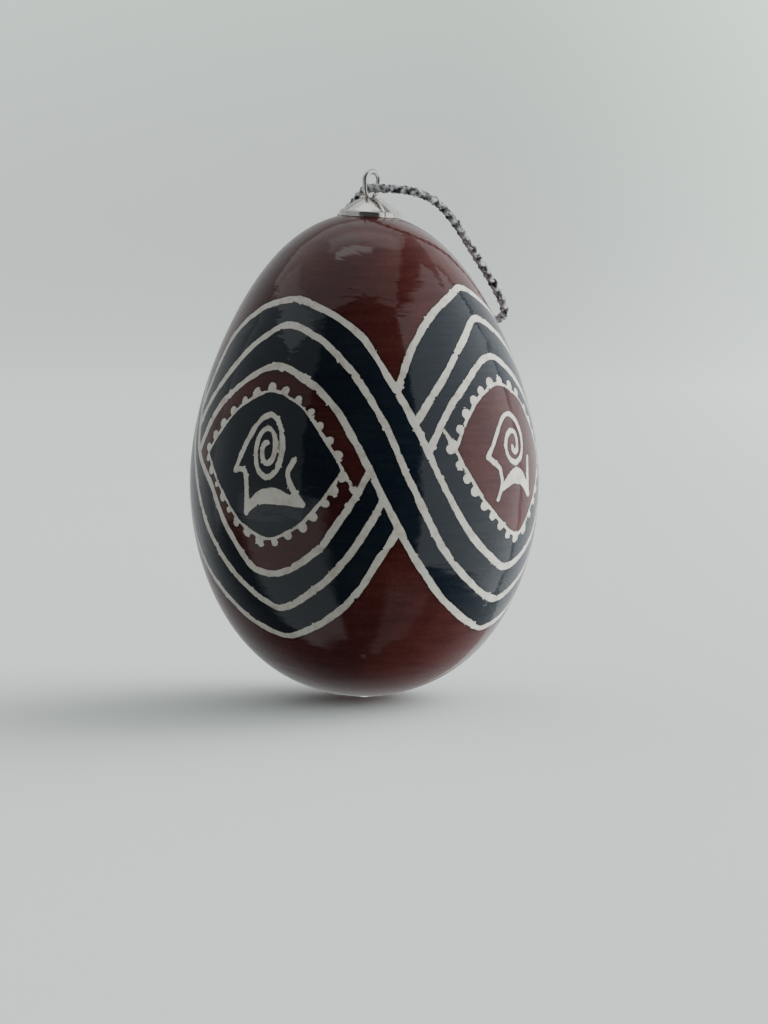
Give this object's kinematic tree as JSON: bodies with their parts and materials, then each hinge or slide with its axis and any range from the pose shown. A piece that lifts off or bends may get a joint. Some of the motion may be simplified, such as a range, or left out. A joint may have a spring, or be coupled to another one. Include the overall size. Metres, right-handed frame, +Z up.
{
  "type": "decorated hanging egg",
  "caption": "Blown hen's egg with wax-resist decoration, a bead cap, a swivelling spring-wire eye at its crown and a knotted cord loop to hang it by.",
  "frame": {"origin": "the egg's lower pole, where it rests in a ring or an egg cup", "axes": "+Z up along the egg's axis to its crown; -Y is the front, +X the side the hanger leans to; the cord loop lies behind"},
  "size_m": [0.0432, 0.0458, 0.0654],
  "materials": {
    "dyed_shell": "egg shell dyed by wax resist in three colours under clear gloss varnish",
    "membrane": "dry shell membrane",
    "bead_cap": "silver plated pressed sheet, polished",
    "spring_wire": "silver plated spring wire",
    "metallic_cord": "braided silver metallic yarn"
  },
  "bodies": {
    "egg": {"egg_shell": "dyed_shell", "shell_membrane": "membrane", "hanger_cap": "bead_cap"},
    "eye": {"hanger_wire": "spring_wire"},
    "cord": {"cord_loop": "metallic_cord", "cord_knot": "metallic_cord"}
  },
  "joints": [
    {"name": "hanger_swivel", "type": "hinge", "parent": "egg", "child": "eye", "pos_m": [0.0009, 0, 0.06287], "axis": [0.0558, 0, 0.9984], "range_deg": [-15, 90]},
    {"name": "loop_swing", "type": "hinge", "parent": "eye", "child": "cord", "pos_m": [0.0009, 0, 0.06288], "axis": [0.5869, -0.809, -0.0328], "range_deg": [0, 180]}
  ]
}
